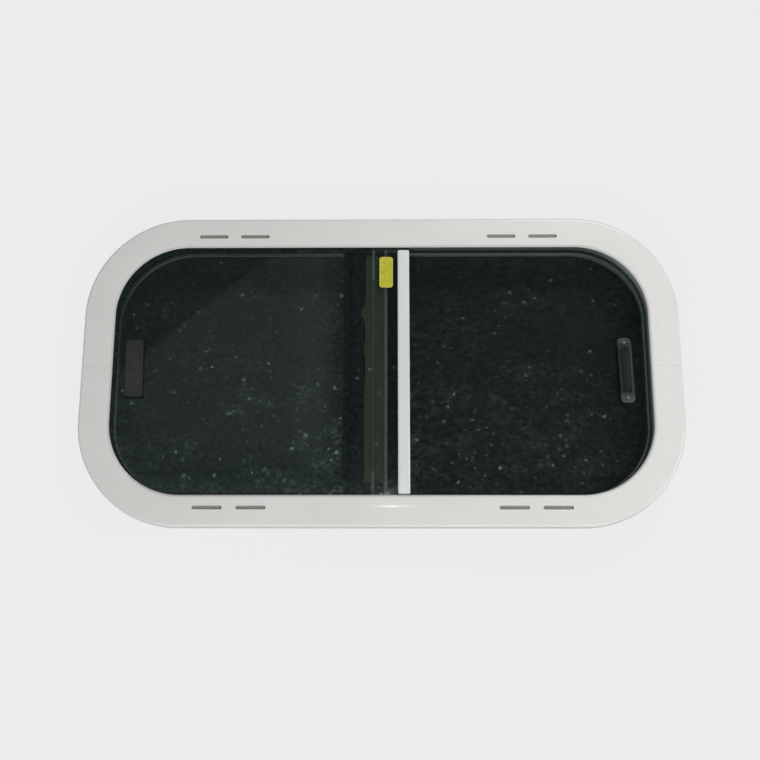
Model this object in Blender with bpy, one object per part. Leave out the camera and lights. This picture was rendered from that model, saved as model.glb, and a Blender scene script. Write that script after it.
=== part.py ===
"""Radius-corner horizontal sliding cabin window, lying on its back.

Frame: +X along the slide, +Y up the window, +Z out of the exterior face.
Origin: centre of the interior clamp ring's rear face. Built in metres.
"""
import math

import bmesh
import bpy
from mathutils import Matrix, Vector

MM = 0.001

# ---------------------------------------------------------------- driving dimensions (mm)
DAYLIGHT_W = 545.0          # clear view inside the frame's front lip
DAYLIGHT_H = 257.0
DAYLIGHT_R = 73.4
FLANGE = 32.5               # front lip edge to the flange's outer edge
DEPTH = 44.0                # clamp ring rear face to the top of the crown
CROWN_U = 11.5              # the flange's soft ridge, from the lip edge
SEAM_Y = 1.5                # the two frame halves meet here on both jambs
SEAM_GAP = 0.3
CORNER_STEPS = 9            # facets in each 90 degree bend

LIP_UNDER = 41.5            # underside of the front lip
SPIGOT_IN = 12.5            # wall that goes through the cut-out
SPIGOT_OUT = 15.0
REAR_LIP = (20.5, 23.0)     # z range of the rear lip
REAR_LIP_IN = -1.2          # it shows just inside the front lip
BOSS = (6.5, 15.0, 13.0)    # screw boss: u range and lowest z

GLASS_T = 4.0
OUTER_GLASS_Z = 36.0        # rear face of the outer pane
INNER_GLASS_Z = 24.6        # rear face of the inner pane
PANE_OVER = 9.7             # pane edge beyond the daylight edge, in its groove
OUTER_PANE_RIGHT = 27.4
INNER_PANE_LEFT = -36.4
LEFT_PULL_LEAN = 1.7        # degrees: the pulls are bonded on by hand, slightly out of square
RIGHT_PULL_LEAN = 1.3

SLOT_L, SLOT_W, SLOT_FLOOR = 29.0, 3.0, 42.3
SLOT_PITCH = 43.0
SLOT_TOP_X, SLOT_BOTTOM_X = 149.4, 151.0
SLOT_TOP_SHIFT, SLOT_BOTTOM_SHIFT = -3.1, 1.7
SLOT_TOP_U, SLOT_BOTTOM_U = 11.6, 12.7

SCREW_U = 10.75
SCREW_R = 1.95
HOLE_R = 2.4

CX = DAYLIGHT_W / 2 - DAYLIGHT_R      # centres of the corner bends
CY = DAYLIGHT_H / 2 - DAYLIGHT_R
A = DAYLIGHT_W / 2
B = DAYLIGHT_H / 2

for old in list(bpy.data.objects):
    bpy.data.objects.remove(old, do_unlink=True)

# ---------------------------------------------------------------- materials
FINISH = {
    "white_powder_coat": ((0.72, 0.735, 0.72), 0.38, 0.0),
    "white_trim": ((0.74, 0.75, 0.74), 0.45, 0.0),
    "black_flock": ((0.012, 0.012, 0.013), 0.9, 0.0),
    "grey_foam": ((0.06, 0.06, 0.065), 0.95, 0.0),
    "stainless": ((0.62, 0.62, 0.63), 0.28, 1.0),
    "aluminium": ((0.60, 0.61, 0.62), 0.35, 1.0),
    "tinted_glass": ((0.02, 0.026, 0.026), 0.05, 0.0),
    "black_plastic": ((0.02, 0.021, 0.021), 0.45, 0.0),
    "grey_plastic": ((0.05, 0.052, 0.05), 0.35, 0.0),
    "tan_tape": ((0.42, 0.37, 0.25), 0.8, 0.0),
    "yellow_tag": ((0.42, 0.40, 0.03), 0.5, 0.0),
    "wool_pile": ((0.05, 0.05, 0.052), 1.0, 0.0),
}


def finish(name, slot):
    color, rough, metal = FINISH[slot]
    mat = bpy.data.materials.new(name)
    mat.use_nodes = True
    bsdf = mat.node_tree.nodes["Principled BSDF"]
    bsdf.inputs["Base Color"].default_value = (*color, 1.0)
    bsdf.inputs["Roughness"].default_value = rough
    bsdf.inputs["Metallic"].default_value = metal
    mat.diffuse_color = (*color, 1.0)
    return mat


def empty(name, loc):
    e = bpy.data.objects.new(name, None)
    e.empty_display_size = 0.03
    e.location = Vector(loc) * MM
    bpy.context.scene.collection.objects.link(e)
    return e


frame_root = empty("frame_root", (0, 0, 0))
outer_sash = empty("outer_sash_axis", (0, 0, OUTER_GLASS_Z + GLASS_T / 2))
inner_sash = empty("inner_sash_axis", (0, 0, INNER_GLASS_Z + GLASS_T / 2))
outer_sash.parent = frame_root
inner_sash.parent = frame_root


def mesh_of(bm, name, origin=(0, 0, 0)):
    """bm is in millimetres, in the window's frame; the mesh is in metres about origin."""
    bmesh.ops.remove_doubles(bm, verts=bm.verts, dist=1e-5)
    bmesh.ops.recalc_face_normals(bm, faces=bm.faces)
    bm.transform(Matrix.Scale(MM, 4) @ Matrix.Translation(-Vector(origin)))
    mesh = bpy.data.meshes.new(name)
    bm.to_mesh(mesh)
    bm.free()
    return mesh


def piece(name, bm, slot, carrier, smooth=35.0):
    origin = carrier.location / MM
    mesh = mesh_of(bm, name, origin)
    obj = bpy.data.objects.new(name, mesh)
    bpy.context.scene.collection.objects.link(obj)
    obj.parent = carrier
    mesh.materials.append(finish(name, slot))
    if smooth:
        mesh.shade_smooth()
        mesh.set_sharp_from_angle(angle=math.radians(smooth))
    return obj


def helper(name, bm, carrier):
    """A cutter or a union helper: not a piece of the window."""
    obj = bpy.data.objects.new(name, mesh_of(bm, name, carrier.location / MM))
    bpy.context.scene.collection.objects.link(obj)
    obj.parent = carrier
    obj.hide_render = True
    obj.display_type = "WIRE"
    return obj


def boolean(obj, other, operation="DIFFERENCE"):
    mod = obj.modifiers.new(operation.lower(), "BOOLEAN")
    mod.operation = operation
    mod.solver = "EXACT"
    mod.object = other


# ---------------------------------------------------------------- shape builders
def stations(half):
    """Stations (centre x, centre y, angle) round the bends: the whole ring, or one frame half."""
    n = CORNER_STEPS

    def bend(cx, cy, a0):
        return [(cx, cy, a0 + math.pi / 2 * i / n) for i in range(n + 1)]

    if half == "ring":
        return (bend(CX, CY, 0) + bend(-CX, CY, math.pi / 2)
                + bend(-CX, -CY, math.pi) + bend(CX, -CY, 1.5 * math.pi))
    if half == "upper":
        y = SEAM_Y + SEAM_GAP / 2
        return [(CX, y, 0.0)] + bend(CX, CY, 0) + bend(-CX, CY, math.pi / 2) + [(-CX, y, math.pi)]
    y = SEAM_Y - SEAM_GAP / 2
    return [(-CX, y, math.pi)] + bend(-CX, -CY, math.pi) + bend(CX, -CY, 1.5 * math.pi) + [(CX, y, 0.0)]


def sweep(profile, half):
    """Sweep a (u, z) profile round the daylight outline; u is measured outward from the daylight edge."""
    bm = bmesh.new()
    closed = half == "ring"
    rings = []
    for cx, cy, a in stations(half):
        rings.append([bm.verts.new((cx + (DAYLIGHT_R + u) * math.cos(a),
                                    cy + (DAYLIGHT_R + u) * math.sin(a), z)) for u, z in profile])
    m = len(profile)
    count = len(rings)
    for i in range(count if closed else count - 1):
        r0, r1 = rings[i], rings[(i + 1) % count]
        for k in range(m):
            bm.faces.new((r0[k], r0[(k + 1) % m], r1[(k + 1) % m], r1[k]))
    if not closed:
        bm.faces.new(rings[0])
        bm.faces.new(list(reversed(rings[-1])))
    return bm


def rounded_rect(x0, x1, y0, y1, r, steps=5):
    """Counter-clockwise outline. r is one radius, or four: right-top, left-top, left-bottom, right-bottom."""
    rs = r if isinstance(r, (tuple, list)) else (r,) * 4
    out = []
    spots = ((x1, y1, -1, -1, 0), (x0, y1, 1, -1, 90), (x0, y0, 1, 1, 180), (x1, y0, -1, 1, 270))
    for (x, y, sx, sy, a0), rr in zip(spots, rs):
        n = max(1, CORNER_STEPS if rr > 20 else steps)
        for i in range(n + 1):
            a = math.radians(a0 + 90.0 * i / n)
            out.append((x + sx * rr + rr * math.cos(a), y + sy * rr + rr * math.sin(a)))
    return out


def layered(layers):
    """A closed solid from outlines of equal length, [(outline, z), ...], lowest first."""
    bm = bmesh.new()
    rings = [[bm.verts.new((x, y, z)) for x, y in outline] for outline, z in layers]
    n = len(rings[0])
    bm.faces.new(list(reversed(rings[0])))
    for r0, r1 in zip(rings, rings[1:]):
        for k in range(n):
            bm.faces.new((r0[k], r0[(k + 1) % n], r1[(k + 1) % n], r1[k]))
    bm.faces.new(rings[-1])
    return bm


def plate(x0, x1, y0, y1, r, z0, z1, edge=0.3, steps=5):
    """A rounded-corner plate with its sharp edges broken by a small chamfer."""
    rs = r if isinstance(r, (tuple, list)) else (r,) * 4
    small = [max(q - edge, 0.05) for q in rs]
    big = rounded_rect(x0, x1, y0, y1, rs, steps)
    inn = rounded_rect(x0 + edge, x1 - edge, y0 + edge, y1 - edge, small, steps)
    return layered([(inn, z0), (big, z0 + edge), (big, z1 - edge), (inn, z1)])


def leaned(bm, x, y, degrees):
    """Turn a shape about an upright axis through (x, y)."""
    spin = Matrix.Rotation(math.radians(degrees), 4, "Z")
    bm.transform(Matrix.Translation((x, y, 0)) @ spin @ Matrix.Translation((-x, -y, 0)))
    return bm


def extrude_y(profile, y0, y1):
    """An (x, z) profile extruded up the window."""
    bm = bmesh.new()
    r0 = [bm.verts.new((x, y0, z)) for x, z in profile]
    r1 = [bm.verts.new((x, y1, z)) for x, z in profile]
    n = len(profile)
    for k in range(n):
        bm.faces.new((r0[k], r0[(k + 1) % n], r1[(k + 1) % n], r1[k]))
    bm.faces.new(list(reversed(r0)))
    bm.faces.new(r1)
    return bm


def turned(profile, place, sides=12, bm=None):
    """Turn an (r, z) profile about Z, then place it with a matrix."""
    bm = bm or bmesh.new()
    rings = []
    for r, z in profile:
        rings.append([bm.verts.new(place @ Vector((r * math.cos(2 * math.pi * i / sides),
                                                   r * math.sin(2 * math.pi * i / sides), z)))
                      for i in range(sides)])
    bm.faces.new(list(reversed(rings[0])))
    for r0, r1 in zip(rings, rings[1:]):
        for k in range(sides):
            bm.faces.new((r0[k], r0[(k + 1) % sides], r1[(k + 1) % sides], r1[k]))
    bm.faces.new(rings[-1])
    return bm


def slot_cutter(bm, x, y):
    """A round-ended slot, open at the top."""
    outline = rounded_rect(x - SLOT_L / 2, x + SLOT_L / 2, y - SLOT_W / 2, y + SLOT_W / 2, SLOT_W / 2 - 0.05, 3)
    lo = [bm.verts.new((px, py, SLOT_FLOOR)) for px, py in outline]
    hi = [bm.verts.new((px, py, DEPTH + 2)) for px, py in outline]
    n = len(outline)
    bm.faces.new(list(reversed(lo)))
    for k in range(n):
        bm.faces.new((lo[k], lo[(k + 1) % n], hi[(k + 1) % n], hi[k]))
    bm.faces.new(hi)


# ---------------------------------------------------------------- frame profile
def crown(u):
    """The flange's outer skin: almost flat, falling a little both ways from a soft ridge."""
    d = u - CROWN_U
    return DEPTH - (0.022 if d < 0 else 0.032) * (math.sqrt(d * d + 1.7) - math.sqrt(1.7))


def roll_over(t):
    """The outer edge: a tight smooth curve from the flange down to its rim."""
    p = ((28.4, crown(28.4)), (30.3, crown(28.4) - 0.06), (31.4, 42.6), (31.5, 41.0))
    w = ((1 - t) ** 3, 3 * t * (1 - t) ** 2, 3 * t * t * (1 - t), t ** 3)
    return (sum(a * q[0] for a, q in zip(w, p)), sum(a * q[1] for a, q in zip(w, p)))


frame_profile = (
    [(0.4, LIP_UNDER), (0.0, 41.9), (0.0, 42.3), (0.4, 43.0), (1.2, 43.5), (2.2, 43.75)]
    + [(u, crown(u)) for u in (3.6, 9.0, 10.5, 11.5, 12.5, 14.5, 22.0, 28.4)]
    + [roll_over(i / 6) for i in range(1, 7)]
    + [(FLANGE, 35.8), (32.2, 35.5), (30.7, 35.5), (30.4, 35.9), (29.6, 40.3), (28.6, 41.2)]
    + [(u, crown(u) - 2.1) for u in (23.0, SPIGOT_OUT)]
    + [(SPIGOT_OUT, BOSS[2] + 0.4), (SPIGOT_OUT - 0.4, BOSS[2]), (BOSS[0] + 0.4, BOSS[2]), (BOSS[0], BOSS[2] + 0.4)]
    + [(BOSS[0], REAR_LIP[0]), (REAR_LIP_IN + 0.4, REAR_LIP[0]), (REAR_LIP_IN, REAR_LIP[0] + 0.4),
       (REAR_LIP_IN, REAR_LIP[1] - 0.4), (REAR_LIP_IN + 0.4, REAR_LIP[1]),
       (SPIGOT_IN, REAR_LIP[1]), (SPIGOT_IN, LIP_UNDER)]
)


def screw_spots():
    """Clamp screw centres round the ring: four on each long side, two on each jamb, one in each bend."""
    d = DAYLIGHT_R + SCREW_U
    spots = []
    for sy in (1, -1):
        spots += [(x, sy * (CY + d)) for x in (-180.0, -60.0, 60.0, 180.0)]
    for sx in (1, -1):
        spots += [(sx * (CX + d), y) for y in (-38.0, 41.0)]
    c = d * math.sqrt(0.5)
    spots += [(sx * (CX + c), sy * (CY + c)) for sx in (1, -1) for sy in (1, -1)]
    return spots


def joiner_spots(side):
    return [(side, SEAM_Y + 18.0), (side, SEAM_Y - 18.0)]


JOINER_Z = 27.0


def across(side, y, z):
    """Place a turned piece with its axis pointing out of the jamb."""
    turn = Matrix.Rotation(side * math.pi / 2, 4, "Y")
    return Matrix.Translation((side * A, y, z)) @ turn


for half, sign in (("upper", 1), ("lower", -1)):
    obj = piece(half + "_frame", sweep(frame_profile, half), "white_powder_coat", frame_root, 28)
    cuts = bmesh.new()
    u, shift, pair = ((SLOT_TOP_U, SLOT_TOP_SHIFT, SLOT_TOP_X) if sign > 0 else
                      (SLOT_BOTTOM_U, SLOT_BOTTOM_SHIFT, SLOT_BOTTOM_X))
    for sx in (-1, 1):
        for sp in (-0.5, 0.5):
            slot_cutter(cuts, sx * pair + sp * SLOT_PITCH + shift, sign * (B + u))
    for x, y in screw_spots():
        if (y - SEAM_Y) * sign > 0:
            turned([(HOLE_R, BOSS[2] - 1), (HOLE_R, 20.6)], Matrix.Translation((x, y, 0)), 8, cuts)
    for side in (1, -1):
        for s, y in joiner_spots(side):
            if (y - SEAM_Y) * sign > 0:
                turned([(1.9, SPIGOT_IN - 0.5), (1.9, SPIGOT_OUT + 0.2)], across(s, y, JOINER_Z), 8, cuts)
    boolean(obj, helper(half + "_frame_cuts", cuts, frame_root))

# ---------------------------------------------------------------- joiner plates over the jamb seams
for side, word in ((-1, "left"), (1, "right")):
    x0, x1 = sorted((side * (A + SPIGOT_OUT + 0.3), side * (A + SPIGOT_OUT + 2.3)))
    bm = bmesh.new()
    outline = rounded_rect(SEAM_Y - 30, SEAM_Y + 30, 21.0, 33.0, 2.0, 4)
    r0 = [bm.verts.new((x0, a, b)) for a, b in outline]
    r1 = [bm.verts.new((x1, a, b)) for a, b in outline]
    for k in range(len(outline)):
        j = (k + 1) % len(outline)
        bm.faces.new((r0[k], r0[j], r1[j], r1[k]))
    bm.faces.new(list(reversed(r0)))
    bm.faces.new(r1)
    plate_obj = piece(word + "_joiner_plate", bm, "aluminium", frame_root)
    cuts = bmesh.new()
    for n, (s, y) in enumerate(joiner_spots(side)):
        turned([(1.9, SPIGOT_OUT), (1.9, 15.75), (3.7, 17.5), (3.7, 17.9)], across(s, y, JOINER_Z), 8, cuts)
        shank = turned([(1.1, 12.9), (1.5, 13.4), (1.5, 15.7), (3.05, 17.25)], across(s, y, JOINER_Z), 10)
        piece("%s_joiner_screw_%d" % (word, n + 1), shank, "stainless", frame_root)
    boolean(plate_obj, helper(word + "_joiner_cuts", cuts, frame_root))

# ---------------------------------------------------------------- flocked double run channel
channel_profile = [(12.1, 23.4), (12.1, 41.1), (0.8, 41.1), (0.8, 40.3), (10.4, 40.3), (10.4, 35.6),
                   (1.7, 35.6), (1.2, 35.1), (1.2, 29.4), (1.7, 28.9), (10.4, 28.9), (10.4, 24.2),
                   (0.4, 24.2), (0.4, 23.4)]
for half in ("upper", "lower"):
    piece(half + "_run_channel", sweep(channel_profile, half), "black_flock", frame_root, 28)

# ---------------------------------------------------------------- flange gasket and interior clamp ring
gasket_profile = [(17.0, 34.2), (28.9, 34.2), (29.3, 34.6), (29.1, 39.6), (28.2, 40.6), (17.0, 41.2)]
piece("flange_gasket", sweep(gasket_profile, "ring"), "grey_foam", frame_root, 28)

# a little smaller than the flange, with a low collar that sits inside the screw boss
ring_profile = [(5.0, 0.5), (5.5, 0.0), (28.2, 0.0), (28.8, 0.3), (29.0, 0.9), (29.0, 2.4), (28.4, 3.0),
                (6.2, 3.0), (6.2, 18.0), (5.0, 18.0)]
ring = piece("clamp_ring", sweep(ring_profile, "ring"), "white_trim", frame_root, 28)
cuts = bmesh.new()
for x, y in screw_spots():
    turned([(4.9, -0.3), (4.9, 0.0), (HOLE_R, 2.4), (HOLE_R, 3.5)], Matrix.Translation((x, y, 0)), 8, cuts)
boolean(ring, helper("clamp_ring_cuts", cuts, frame_root))

screw_profile = [(2.0, 1.35), (2.0, 0.35), (4.0, 0.35), (4.0, 0.55), (SCREW_R, 2.6), (SCREW_R, 18.4), (0.9, 19.8)]
screw_mesh = None
for n, (x, y) in enumerate(screw_spots()):
    name = "clamp_screw_%02d" % (n + 1)
    if screw_mesh is None:
        first = piece(name, turned(screw_profile, Matrix.Identity(4), 10), "stainless", frame_root)
        screw_mesh = first.data
        obj = first
    else:
        obj = bpy.data.objects.new(name, screw_mesh)
        bpy.context.scene.collection.objects.link(obj)
        obj.parent = frame_root
    obj.location = Vector((x, y, 0)) * MM

# ---------------------------------------------------------------- outer sash: slides in the front groove
PY = B + PANE_OVER
PR = DAYLIGHT_R + PANE_OVER
og0, og1 = OUTER_GLASS_Z, OUTER_GLASS_Z + GLASS_T
piece("outer_pane", plate(-(A + PANE_OVER), OUTER_PANE_RIGHT, -PY, PY, (3.0, PR, PR, 3.0), og0, og1, 0.4),
      "tinted_glass", outer_sash)

# aluminium channel on the free vertical edge: the light bar in the middle of the window
bx0, bx1 = 17.2, 29.2
bar_low, bar_high = -(B - 1.1), B - 2.4
bar_profile = [(bx0, og1 + 0.3), (bx0, og1 + 1.1), (bx0 + 0.35, og1 + 1.6), (bx0 + 3.2, og1 + 1.9),
               (bx1 - 3.2, og1 + 1.9), (bx1 - 0.5, og1 + 1.6), (bx1, og1 + 1.0), (bx1, og0 - 1.6), (bx1 - 0.3, og0 - 1.9),
               (bx0 + 0.3, og0 - 1.9), (bx0, og0 - 1.6), (bx0, og0 - 0.3), (OUTER_PANE_RIGHT + 0.3, og0 - 0.3),
               (OUTER_PANE_RIGHT + 0.3, og1 + 0.3)]
piece("edge_channel", extrude_y(bar_profile, bar_low, bar_high), "white_powder_coat", outer_sash)

# interlock strip bonded behind the outer pane: two ribs set the bond line, a hook faces the inner sash
ix0, ix1 = -15.4, 6.6
rib = -8.0
hook = -25.2
interlock_profile = [(hook, 31.2), (ix0 + 1.6, 31.2), (ix0 + 1.6, 33.2), (ix1, 33.2), (ix1, 35.4), (ix1 - 0.3, 35.7),
                     (ix1 - 2.9, 35.7), (ix1 - 3.2, 35.4), (ix1 - 3.2, 34.8), (rib + 1.5, 34.8), (rib + 1.5, 35.5),
                     (rib + 1.2, 35.7), (rib - 1.2, 35.7), (rib - 1.5, 35.5), (rib - 1.5, 34.8), (ix0, 34.8),
                     (ix0, 32.3), (hook, 32.3)]
piece("outer_interlock", extrude_y(interlock_profile, -(B - 0.5), B - 0.5), "aluminium", outer_sash)

# two runs of bonding tape, squeezed out unevenly along the free edge
TAPE_TOP, TAPE_BOTTOM = 120.9, -115.6


def squeeze(y):
    """How far the tape spreads past the strip at height y."""
    bulge = 4.5 * math.exp(-((y - 59.0) / 7.5) ** 2) + 1.7 * math.exp(-((y - 20.5) / 8.0) ** 2)
    lower = min(1.0, max(0.0, (2.0 - y) / 36.0))
    return bulge + 1.1 * lower * lower * (3 - 2 * lower) + 0.12 * math.sin(y / 5.0) + 0.1 * math.sin(y / 2.3 + 1.0)


bm = bmesh.new()
rows = 72
ladder = []
for i in range(rows + 1):
    y = TAPE_BOTTOM + (TAPE_TOP - TAPE_BOTTOM) * i / rows
    xl = ix0 - 0.5 - squeeze(y)
    ladder.append([bm.verts.new(p) for p in ((xl, y, 35.1), (rib - 1.7, y, 35.1), (rib - 1.7, y, 35.7), (xl, y, 35.7))])
for r0, r1 in zip(ladder, ladder[1:]):
    for k in range(4):
        bm.faces.new((r0[k], r0[(k + 1) % 4], r1[(k + 1) % 4], r1[k]))
bm.faces.new(list(reversed(ladder[0])))
bm.faces.new(ladder[-1])
piece("interlock_tape_left", bm, "tan_tape", outer_sash, 0)
piece("interlock_tape_right", plate(rib + 1.7, ix1 - 3.6, TAPE_BOTTOM, TAPE_TOP, 0.6, 35.1, 35.7, 0.1, 2), "tan_tape",
      outer_sash, 0)

# finger pull bonded inside, near the outer end
px0, px1, py0, py1 = -260.95, -241.35, -30.7, 31.2
left_spot = ((px0 + px1) / 2, (py0 + py1) / 2, LEFT_PULL_LEAN)
piece("left_pull_pad", leaned(plate(px0, px1 - 1.7, py0 + 2.6, py1, 3.0, 35.2, 35.7, 0.1), *left_spot), "tan_tape", outer_sash, 0)
grip = plate(px0 + 0.3, px1 - 0.3, py0 + 0.3, py1 - 0.3, 2.4, 33.0, 34.9, 0.5)
left_pull = piece("left_pull", leaned(grip, *left_spot), "black_plastic", outer_sash)
lip = plate(px1 - 5.6, px1 - 1.4, py0 + 3.0, py1 - 3.0, 1.9, 29.4, 33.9, 0.6)
boolean(left_pull, helper("left_pull_lip", leaned(lip, *left_spot), outer_sash), "UNION")

# plain blank sticker on the outside of the outer pane
piece("blank_tag", plate(-1.6, 12.3, 85.6, 118.8, 3.0, og1 + 0.3, og1 + 0.5, 0.05), "yellow_tag", outer_sash, 0)

# ---------------------------------------------------------------- inner sash: slides in the rear groove
ig0, ig1 = INNER_GLASS_Z, INNER_GLASS_Z + GLASS_T
piece("inner_pane", plate(INNER_PANE_LEFT, A + PANE_OVER, -PY, PY, (PR, 3.0, 3.0, PR), ig0, ig1, 0.4),
      "tinted_glass", inner_sash)

# channel on the inner pane's free edge, with the mating hook
jx0 = INNER_PANE_LEFT - 1.8
cap_profile = [(jx0, ig0 - 1.2), (jx0 + 0.3, ig0 - 1.5), (jx0 + 15.0, ig0 - 1.5), (jx0 + 15.0, ig0 - 0.3),
               (INNER_PANE_LEFT - 0.3, ig0 - 0.3), (INNER_PANE_LEFT - 0.3, ig1 + 0.3), (jx0 + 18.2, ig1 + 0.3),
               (jx0 + 18.2, ig1 + 1.5), (jx0 + 9.6, ig1 + 1.5), (jx0 + 9.6, 33.3), (jx0 + 21.2, 33.3), (jx0 + 21.2, 34.2),
               (jx0 + 20.9, 34.5), (jx0 + 8.4, 34.5), (jx0 + 8.0, 34.1), (jx0 + 8.0, ig1 + 1.5), (jx0 + 0.3, ig1 + 1.5),
               (jx0, ig1 + 1.2)]
piece("inner_interlock", extrude_y(cap_profile, -(B - 1.7), B - 1.7), "black_plastic", inner_sash)
piece("pile_strip", plate(jx0 + 9.9, hook - 0.3, -(B - 3.0), B - 3.0, 0.3, ig1 + 1.8, 33.0, 0.2, 2), "wool_pile",
      inner_sash, 0)

# finger pull bonded outside, near the outer end: a round-cornered grip with a finger recess
qx0, qx1, qy0, qy1 = 241.5, 256.7, -35.0, 33.2
right_spot = ((qx0 + qx1) / 2, (qy0 + qy1) / 2, RIGHT_PULL_LEAN)
qr = 5.2
piece("right_pull_pad", leaned(plate(qx0 + 0.8, qx1 - 0.8, qy0 + 0.8, qy1 - 0.8, qr - 0.8, ig1 + 0.3, ig1 + 0.8, 0.1, 6),
                               *right_spot), "tan_tape", inner_sash, 0)
right_pull = piece("right_pull", leaned(plate(qx0, qx1, qy0, qy1, qr, ig1 + 1.1, 35.2, 1.0, 6), *right_spot), "grey_plastic",
                   inner_sash)
recess = plate(qx0 + 3.6, qx1 - 3.6, qy0 + 10.5, qy1 - 10.5, 3.4, 31.6, 37.0, 0.4, 5)
boolean(right_pull, helper("right_pull_recess", leaned(recess, *right_spot), inner_sash))
# a low domed plug at each end
for name, y in (("top", qy1 - 5.2), ("bottom", qy0 + 5.6)):
    plug = plate(right_spot[0] - 1.9, right_spot[0] + 1.9, y - 1.9, y + 1.9, 1.9, 34.0, 35.8, 0.5, 6)
    boolean(right_pull, helper("right_pull_plug_" + name, leaned(plug, *right_spot), inner_sash), "UNION")
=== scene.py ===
"""Looks of the radius-corner sliding cabin window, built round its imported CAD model.

Shapes are worked out in millimetres and made in metres, in the frame of the CAD:
+X along the slide, +Y up the window, +Z out of the exterior face.
"""
import math
import random

import bmesh
import bpy
from mathutils import Matrix, Vector


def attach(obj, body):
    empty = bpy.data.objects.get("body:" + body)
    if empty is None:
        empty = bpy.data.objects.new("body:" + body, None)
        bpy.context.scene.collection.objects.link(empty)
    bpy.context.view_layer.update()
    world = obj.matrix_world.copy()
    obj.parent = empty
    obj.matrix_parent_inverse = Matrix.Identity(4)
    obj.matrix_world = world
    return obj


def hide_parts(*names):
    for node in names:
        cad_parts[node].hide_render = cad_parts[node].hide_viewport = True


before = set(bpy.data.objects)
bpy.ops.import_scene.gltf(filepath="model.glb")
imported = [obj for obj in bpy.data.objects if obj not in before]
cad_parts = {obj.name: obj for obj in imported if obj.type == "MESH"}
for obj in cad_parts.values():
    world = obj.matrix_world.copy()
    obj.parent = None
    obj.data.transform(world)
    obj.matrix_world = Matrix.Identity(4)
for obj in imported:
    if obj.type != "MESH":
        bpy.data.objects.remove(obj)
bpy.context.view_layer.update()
MM = 0.001

# ---------------------------------------------------------------- sizes of the CAD model (mm)
A, B, R = 272.5, 128.5, 73.4          # daylight half width, half height, corner radius
FLANGE = 32.5
CX, CY = A - R, B - R
SEAM_Y, SEAM_GAP = 1.5, 0.06
BEND = 40                             # facets in each 90 degree bend
CROWN_U, DEPTH = 11.5, 44.0


# ================================================================ materials
def coords(nt, scale=(1, 1, 1), turn=(0, 0, 0), shift=(0, 0, 0)):
    """Object coordinates in millimetres, stretched and turned."""
    tc = nt.nodes.new("ShaderNodeTexCoord")
    mp = nt.nodes.new("ShaderNodeMapping")
    mp.inputs["Scale"].default_value = [1000.0 * s for s in scale]
    mp.inputs["Rotation"].default_value = [math.radians(t) for t in turn]
    mp.inputs["Location"].default_value = shift
    nt.links.new(tc.outputs["Object"], mp.inputs["Vector"])
    return mp.outputs["Vector"]


def noise(nt, vec, scale, detail=2.0, rough=0.5, distortion=0.0):
    n = nt.nodes.new("ShaderNodeTexNoise")
    n.inputs["Scale"].default_value = scale
    n.inputs["Detail"].default_value = detail
    n.inputs["Roughness"].default_value = rough
    n.inputs["Distortion"].default_value = distortion
    nt.links.new(vec, n.inputs["Vector"])
    return n.outputs["Fac"]


def cells(nt, vec, scale, randomness=1.0, flat=False):
    v = nt.nodes.new("ShaderNodeTexVoronoi")
    v.voronoi_dimensions = "2D" if flat else "3D"
    v.inputs["Scale"].default_value = scale
    v.inputs["Randomness"].default_value = randomness
    nt.links.new(vec, v.inputs["Vector"])
    return v.outputs["Distance"], v.outputs["Color"]


def span(nt, value, lo, hi, out_lo=0.0, out_hi=1.0, smooth=True):
    m = nt.nodes.new("ShaderNodeMapRange")
    m.interpolation_type = "SMOOTHSTEP" if smooth else "LINEAR"
    for k, x in zip(("From Min", "From Max", "To Min", "To Max"), (lo, hi, out_lo, out_hi)):
        m.inputs[k].default_value = x
    nt.links.new(value, m.inputs["Value"])
    return m.outputs["Result"]


def calc(nt, op, a, b=None, c=None):
    m = nt.nodes.new("ShaderNodeMath")
    m.operation = op
    for i, x in enumerate((a, b, c)):
        if x is None:
            continue
        if isinstance(x, (int, float)):
            m.inputs[i].default_value = x
        else:
            nt.links.new(x, m.inputs[i])
    return m.outputs[0]


def blend(nt, fac, one, two):
    """A colour between one and two."""
    m = nt.nodes.new("ShaderNodeMix")
    m.data_type = "RGBA"
    m.clamp_factor = True
    if isinstance(fac, (int, float)):
        m.inputs[0].default_value = fac
    else:
        nt.links.new(fac, m.inputs[0])
    for i, x in ((6, one), (7, two)):
        if isinstance(x, (tuple, list)):
            m.inputs[i].default_value = (*x, 1.0)
        else:
            nt.links.new(x, m.inputs[i])
    return m.outputs[2]


def parts_of(nt, vec):
    s = nt.nodes.new("ShaderNodeSeparateXYZ")
    nt.links.new(vec, s.inputs[0])
    return s.outputs[0], s.outputs[1], s.outputs[2]


def from_edge(nt, vec):
    """Distance out from the daylight edge, in mm."""
    x, y, z = parts_of(nt, vec)
    qx = calc(nt, "MAXIMUM", calc(nt, "SUBTRACT", calc(nt, "ABSOLUTE", x), CX), 0.0)
    qy = calc(nt, "MAXIMUM", calc(nt, "SUBTRACT", calc(nt, "ABSOLUTE", y), CY), 0.0)
    return calc(nt, "SUBTRACT", calc(nt, "SQRT", calc(nt, "ADD", calc(nt, "MULTIPLY", qx, qx), calc(nt, "MULTIPLY", qy, qy))), R)


def channels(nt, color):
    s = nt.nodes.new("ShaderNodeSeparateColor")
    nt.links.new(color, s.inputs[0])
    return s.outputs[0], s.outputs[1], s.outputs[2]


def bump(nt, bsdf, height, distance, strength=1.0):
    b = nt.nodes.new("ShaderNodeBump")
    b.inputs["Strength"].default_value = strength
    b.inputs["Distance"].default_value = distance * MM
    nt.links.new(height, b.inputs["Height"])
    nt.links.new(b.outputs["Normal"], bsdf.inputs["Normal"])


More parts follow.
